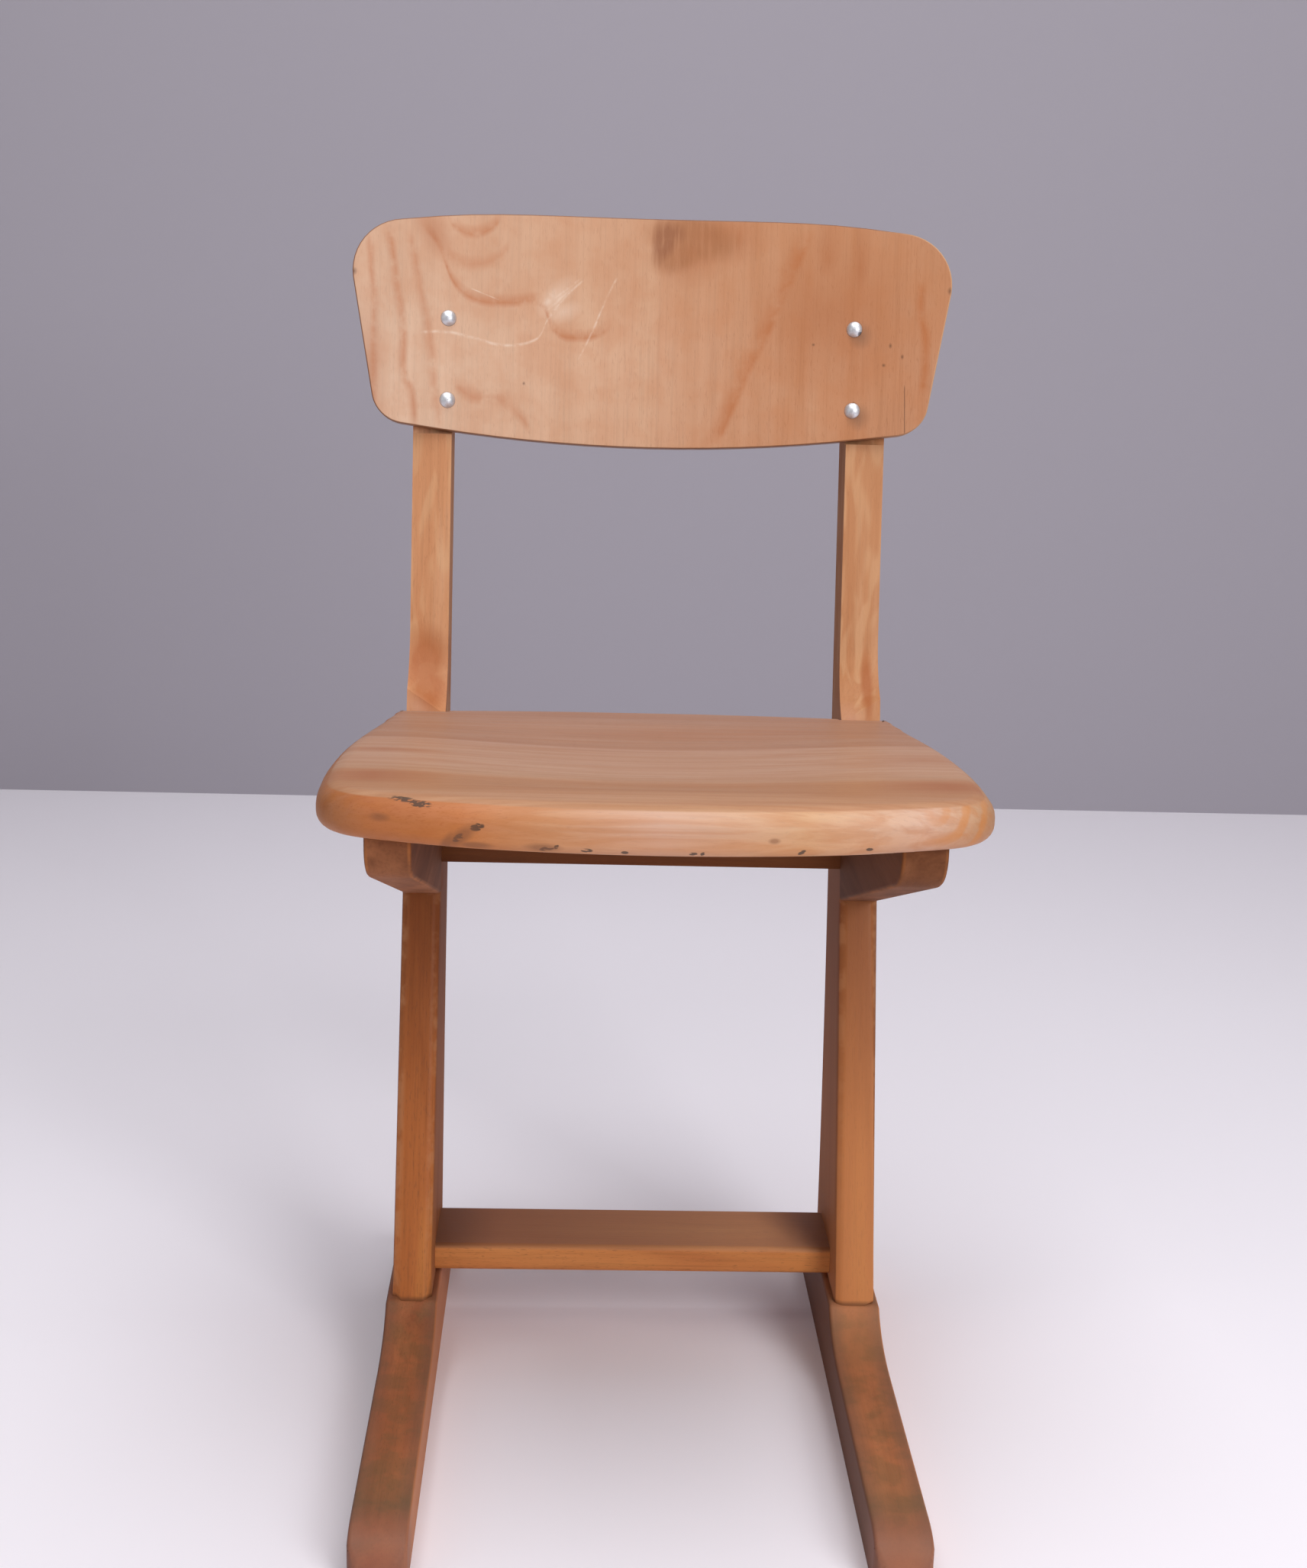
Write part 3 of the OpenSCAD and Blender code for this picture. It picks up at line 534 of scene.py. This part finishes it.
def foot_beech():
    """Runner of solid beech: amber varnish rubbed dull, with grey-green grime in blotches on top and in a
    band behind the pinker bare toe."""
    material, tree = new_material("worn_beech_runner")
    spot, axes, normal = coordinates(tree)
    colour, height = beech(tree, spot, "Y", 0,
                           [(0.28, "#98512f"), (0.5, "#ad663f"), (0.72, "#bf784d")], 11.2)
    is_right = on_right(tree, axes)
    colour = laid_on(tree, colour, "#b3744a", is_right, 0.4)
    upward = ramped(tree, normal[2], 0.3, 0.8, smooth=True)
    grime = product(tree, upward, patches(tree, spot, 45, 0.36, 0.62, 1.0))
    colour = laid_on(tree, colour, "#6b5034", grime, 0.3)
    blotches = product(tree, upward, patches(tree, spot, 17, 0.42, 0.62, 8.0))
    colour = laid_on(tree, colour, "#5b5334", blotches, 0.3)
    near_leg = ramped(tree, axes[1], -60 * mm, 0.0, smooth=True)
    near_leg = product(tree, near_leg, is_right)
    colour = laid_on(tree, colour, "#cf9468", near_leg, 0.2)
    # Both edges of the top are greyer than its orange middle: a painted sheen on the rounded edges
    aside = node(tree, "ShaderNodeMath", {0: axes[0]}, operation="ABSOLUTE")[0]
    off_middle = node(tree, "ShaderNodeMath", {0: aside, 1: foot_x}, operation="SUBTRACT")[0]
    off_middle = node(tree, "ShaderNodeMath", {0: off_middle}, operation="ABSOLUTE")[0]
    painted_sheen_at_edges = ramped(tree, off_middle, 4 * mm, 16 * mm, smooth=True)
    colour = laid_on(tree, colour, "#7a5846", painted_sheen_at_edges, 0.5)
    # On both runners the faces turned to the right get painted light from the window at the right, lighter and
    # orange, and the faces turned to the left get dark painted shade
    lit_right_faces = ramped(tree, normal[0], 0.5, 0.9)
    colour = laid_on(tree, colour, "#dc8c56", lit_right_faces, 0.5)
    shaded_left_faces = ramped(tree, normal[0], -0.5, -0.9)
    colour = laid_on(tree, colour, "#3c1a0a", shaded_left_faces, 0.6)
    toe = ramped(tree, axes[1], -185 * mm, -225 * mm, smooth=True)
    colour = laid_on(tree, colour, "#87594a", toe, 0.6)
    along = ramped(tree, axes[1], -215 * mm, -150 * mm)
    band = node(tree, "ShaderNodeValToRGB", {0: along},
                stops=[(0.0, 0.0), (0.3, 1.0), (0.55, 0.6), (1.0, 0.0)])[0]
    band = product(tree, band, upward)
    colour = laid_on(tree, colour, "#55523c", band, 0.35)
    varnished(tree, colour, height, 0.62, 0.03)
    return material


def footrest_beech():
    """Footrest board: amber varnish, scuffed along the middle, with a painted highlight on its rounded edges,
    painted shade of the seat over the left of its top, and dark at both ends with dirt and painted shade of the
    legs.
    """
    material, tree = new_material("scuffed_beech_footrest")
    spot, axes, normal = coordinates(tree)
    colour, height = beech(tree, spot, "X", 0,
                           [(0.28, "#bd703c"), (0.5, "#cf8448"), (0.72, "#dd9656")], 12.9)
    aside = node(tree, "ShaderNodeMath", {0: axes[0]}, operation="ABSOLUTE")[0]
    # Both ends of the top go dark: partly dirt, partly painted shade of the legs in the corners.
    ends = ramped(tree, aside, 85 * mm, inner_x, smooth=True)
    upward = ramped(tree, normal[2], 0.2, 0.8)
    dirt_and_leg_shade = product(tree, ends, upward)
    # Painted shade of the seat: the top is darker towards the left.
    leftward = ramped(tree, axes[0], 60 * mm, -100 * mm)
    dull = product(tree, upward, leftward)
    # Painted highlight along the rounded edges.
    painted_arris_highlight = node(tree, "ShaderNodeAttribute", attribute_name="arris")["Fac"]
    colour = laid_on(tree, colour, "#dfa770", painted_arris_highlight, 0.5)
    colour = laid_on(tree, colour, "#c8926a", upward, 0.65)
    colour = laid_on(tree, colour, "#8a4e2e", dull, 0.6)
    colour = laid_on(tree, colour, "#5e3a26", dirt_and_leg_shade, 0.6)
    varnished(tree, colour, height, 0.5, 0.05)
    return material


def dowel_beech():
    """Bare beech rod, turned, with its grain along it."""
    material, tree = new_material("bare_beech_dowel")
    spot = coordinates(tree)[0]
    colour, height = beech(tree, spot, "Y", 0,
                           [(0.28, "#c79f78"), (0.5, "#d4b08a"), (0.72, "#dfbf9c")], 14.0)
    varnished(tree, colour, height, 0.7, 0.0)
    return material


def rivet_aluminium():
    """Drawn aluminium rivet: bright satin, slightly grey, with fine marks from the setting tool. The upper
    right one has a dark dimple."""
    material, tree = new_material("drawn_aluminium")
    spot = coordinates(tree)[0]
    scuff = 0.9 * mm
    scuffs = node(tree, "ShaderNodeTexNoise", {"Vector": spot, "Scale": 1 / scuff, "Detail": 3.0})["Fac"]
    tone = node(tree, "ShaderNodeValToRGB", {0: scuffs}, stops=[(0.3, "#cbcdd4"), (0.7, "#dfe0e5")])[0]
    head = (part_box("right_upper_rivet")[0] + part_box("right_upper_rivet")[1]) / 2
    dimple = spots(tree, spot, [(head.x / mm, head.z / mm, 2.4, 2.4, 0)])
    dimple = ramped(tree, dimple, 0.2, 0.5)
    tone = laid_on(tree, tone, "#55545a", dimple, 0.8)
    dull = ramped(tree, scuffs, 0.0, 1.0, start=0.38, end=0.46)
    shader = node(tree, "ShaderNodeBsdfPrincipled", {"Base Color": tone, "Roughness": dull, "Metallic": 0.8})
    node(tree, "ShaderNodeOutputMaterial", {"Surface": shader[0]})
    return material


# ---- Shapes ----

fasteners = [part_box(name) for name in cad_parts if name.endswith(("_dowel", "_rivet", "_washer"))]


def in_hole(point):
    """Whether a point is on the rim of a hidden hole."""
    slack = 0.6 * mm
    return any(all(low[i] - slack < point[i] < high[i] + slack for i in range(3)) for low, high in fasteners)


def shell_of(name, flat=True):
    """A CAD node's mesh as one closed shell. The triangles of flat faces are joined."""
    shell = bmesh.new()
    shell.from_mesh(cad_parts[name].data)
    bmesh.ops.remove_doubles(shell, verts=shell.verts, dist=1e-6)
    if flat:
        bmesh.ops.dissolve_limit(shell, angle_limit=math.radians(0.5), verts=shell.verts,
                                 edges=shell.edges, delimit=set())
    shell.verts.layers.float.new("arris")
    return shell


def eased(shell, size, wanted):
    """Rounds the sharp edges whose middle passes the test by this many millimetres, and marks the rounding
    as arris. The rims of hidden holes stay sharp."""
    layer = shell.verts.layers.float["arris"]
    sharp = [edge for edge in shell.edges
             if edge.is_manifold and edge.calc_face_angle(0) > math.radians(30)
             and not in_hole((edge.verts[0].co + edge.verts[1].co) / 2)
             and wanted((edge.verts[0].co + edge.verts[1].co) / 2)]
    made = bmesh.ops.bevel(shell, geom=sharp, offset=size * mm, offset_type="OFFSET", segments=3,
                           profile=0.5, affect="EDGES", clamp_overlap=True, material=-1)
    rounded = set(made["faces"])
    for vert in shell.verts:
        if vert.link_faces and all(face in rounded for face in vert.link_faces):
            vert[layer] = 1.0


def piece(shell, name, replaced, material):
    """Makes the finished piece in place, smooth where it bends."""
    mesh = bpy.data.meshes.new(name)
    shell.to_mesh(mesh)
    shell.free()
    mesh.materials.append(material)
    mesh.shade_smooth()
    mesh.set_sharp_from_angle(angle=math.radians(38))
    made = bpy.data.objects.new(name, mesh)
    scene.collection.objects.link(made)
    even = made.modifiers.new("even shading", "WEIGHTED_NORMAL")
    even.keep_sharp = True
    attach(made, "root")
    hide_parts(replaced)
    return made


def make_legs():
    """Each leg's front edges are well rounded below the bearer, and the others only eased."""
    material = leg_beech()
    for side in sides:
        name = side + "_leg"
        shell = shell_of(name)
        # A cut all round lets the large rounding end just under the bearer
        under_bearer = bearer_low.z - 2 * mm
        bmesh.ops.bisect_plane(shell, geom=shell.verts[:] + shell.edges[:] + shell.faces[:], dist=1e-6,
                               plane_co=(0, 0, under_bearer), plane_no=(0, 0, 1))
        eased(shell, 6, lambda m: foot_high.z < m.z < under_bearer and m.y < leg_front_y(m.z) + mm)
        eased(shell, 2, lambda m: m.z > foot_high.z + mm and not (
            m.z < seat_low.z + 20 * mm and m.y < leg_front_y(m.z) + mm))
        piece(shell, name + "_wood", name, material)


def make_bearers():
    """Each bearer is eased below the seat and in front of the leg."""
    material = bearer_beech()
    for side in sides:
        name = side + "_bearer"
        shell = shell_of(name)
        eased(shell, 2.5, lambda m: m.z < seat_under_z(m.y) - mm and m.y < leg_front_y(m.z) - mm)
        piece(shell, name + "_wood", name, material)


def make_feet():
    """The runners' long edges are rounded, more on top than at the sole. Where the leg stands on the foot,
    only its outer edges are."""
    material = foot_beech()
    sole = 12 * mm
    outer = (foot_high.x - foot_low.x) / 2 - 6 * mm
    leg_end = leg_low.y + 115 * mm
    for side in sides:
        name = side + "_foot"
        shell = shell_of(name)
        eased(shell, 3.5, lambda m: m.z > sole and (abs(abs(m.x) - foot_x) > outer
                                                    or not leg_low.y < m.y < leg_end))
        eased(shell, 1.5, lambda m: m.z < sole and abs(abs(m.x) - foot_x) > outer)
        piece(shell, name + "_wood", name, material)


def make_cross_pieces():
    shell = shell_of("footrest")
    eased(shell, 2.5, lambda m: abs(m.x) < inner_x - mm)
    piece(shell, "footrest_wood", "footrest", footrest_beech())
    shell = shell_of("seat_rail")
    eased(shell, 1.5, lambda m: abs(m.x) < inner_x - mm and m.z < seat_under_z(m.y) - mm)
    piece(shell, "seat_rail_wood", "seat_rail", rail_beech())


def make_backrest():
    shell = shell_of("backrest")
    eased(shell, 3.2, lambda m: True)
    # The cut edge is made of the faces that look neither to the bend's axis nor away from it
    edge = shell.faces.layers.float.new("edge")
    for face in shell.faces:
        middle = face.calc_center_median()
        out = Vector((middle.x, middle.y - (back_low.y - bend_r), 0)).normalized()
        out.rotate(Matrix.Rotation(-post_lean, 3, "X"))
        face[edge] = 1.0 if abs(face.normal.dot(out)) < 0.5 else 0.0
    piece(shell, "backrest_plywood", "backrest", backrest_beech())


def make_seat():
    """The seat is made again from its own outline, with a round rim and a soft hollow in its top."""
    seat_t = 26 * mm
    rim_r = 13 * mm
    # The hollow, in the seat's own frame
    hollow_depth = 5.6 * mm
    hollow_half_w = 155 * mm
    hollow_half_l = 120 * mm
    hollow_middle_y = 128 * mm
    # This section lies above the dowel holes and below the rounded rim
    section_h = 14.5 * mm
    tilt = Matrix.Rotation(-seat_slope, 4, "X")
    seat_frame = Matrix.Translation((0, bearer_low.y, bearer_high.z)) @ tilt
    shell = shell_of("seat")
    bmesh.ops.transform(shell, matrix=seat_frame.inverted(), verts=shell.verts)
    bmesh.ops.bisect_plane(shell, geom=shell.verts[:] + shell.edges[:] + shell.faces[:], dist=1e-6,
                           plane_co=(0, 0, section_h), plane_no=(0, 0, 1),
                           clear_inner=True, clear_outer=True)
    bmesh.ops.remove_doubles(shell, verts=shell.verts, dist=0.8 * mm)
    bmesh.ops.edgeloop_fill(shell, edges=shell.edges)
    back_y = max(v.co.y for v in shell.verts)
    for vert in shell.verts:
        vert.co.z = 0
    lower = shell.faces[:]
    made = bmesh.ops.extrude_face_region(shell, geom=lower)["geom"]
    upper = [item for item in made if isinstance(item, bmesh.types.BMVert)]
    bmesh.ops.translate(shell, verts=upper, vec=(0, 0, seat_t))
    bmesh.ops.recalc_face_normals(shell, faces=shell.faces)
    # The back edge leans back as the legs do
    lean = math.tan(leg_lean - seat_slope)
    for vert in shell.verts:
        nearness = min(max((vert.co.y - back_y + 30 * mm) / (25 * mm), 0), 1)
        vert.co.y += nearness * lean * (vert.co.z - section_h)
    # Shares of the rim's radius: the full one on top at the front, and less below and towards the back
    weight = shell.edges.layers.float.new("bevel_weight_edge")
    for edge in shell.edges:
        middle = (edge.verts[0].co + edge.verts[1].co) / 2
        flat = abs(edge.verts[0].co.z - edge.verts[1].co.z) < mm
        to_back = min(max((middle.y - back_y + 60 * mm) / (50 * mm), 0), 1)
        to_side = min(max((abs(middle.x) - 105 * mm) / (60 * mm), 0), 1)
        if flat and middle.z > section_h:
            edge[weight] = 1 - 0.68 * to_back
        elif flat:
            edge[weight] = 0.36 + 0.38 * to_side * (1 - to_back) - 0.14 * to_back
    mesh = bpy.data.meshes.new("seat blank")
    shell.to_mesh(mesh)
    shell.free()
    blank = bpy.data.objects.new("seat blank", mesh)
    scene.collection.objects.link(blank)
    rim = blank.modifiers.new("rim", "BEVEL")
    rim.limit_method = "WEIGHT"
    rim.width = rim_r
    rim.segments = 6
    rim.use_clamp_overlap = False
    rounded = bpy.data.meshes.new_from_object(blank.evaluated_get(bpy.context.evaluated_depsgraph_get()))
    bpy.data.objects.remove(blank)
    shell = bmesh.new()
    shell.from_mesh(rounded)
    bpy.data.meshes.remove(rounded)
    # The top is cut into a grid, and sinks to a trough: deepest across the middle, flat from front to back
    grid_mm = 8
    for axis, first, last in ((0, -184, 184), (1, -36, 300)):
        for step in range(first, last, grid_mm):
            top = [face for face in shell.faces if all(v.co.z > seat_t - 1e-6 for v in face.verts)]
            parts = set(top)
            for face in top:
                parts.update(face.verts)
                parts.update(face.edges)
            place = [0, 0, 0]
            direction = [0, 0, 0]
            place[axis] = step * mm
            direction[axis] = 1
            bmesh.ops.bisect_plane(shell, geom=list(parts), dist=1e-6, plane_co=place, plane_no=direction)
    for vert in shell.verts:
        if vert.co.z > seat_t - 1e-6:
            u = min(abs(vert.co.x) / hollow_half_w, 1)
            v = min(abs(vert.co.y - hollow_middle_y) / hollow_half_l, 1)
            vert.co.z -= hollow_depth * (1 - u ** 2) ** 1.5 * (1 - v ** 4) ** 1.5
    bmesh.ops.transform(shell, matrix=seat_frame, verts=shell.verts)
    piece(shell, "seat_wood", "seat", seat_beech())


def make_fasteners():
    """Rivets and washers are finished in metal. The dowels are hidden, and keep their CAD shape."""
    metal = rivet_aluminium()
    wood = dowel_beech()
    for name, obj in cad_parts.items():
        if name.endswith(("_rivet", "_washer")):
            shell = shell_of(name, flat=False)
            piece(shell, name + "_metal", name, metal)
        if name.endswith("_dowel"):
            obj.data.materials.clear()
            obj.data.materials.append(wood)


place_camera()
stage()
make_legs()
make_bearers()
make_feet()
make_cross_pieces()
make_backrest()
make_seat()
make_fasteners()
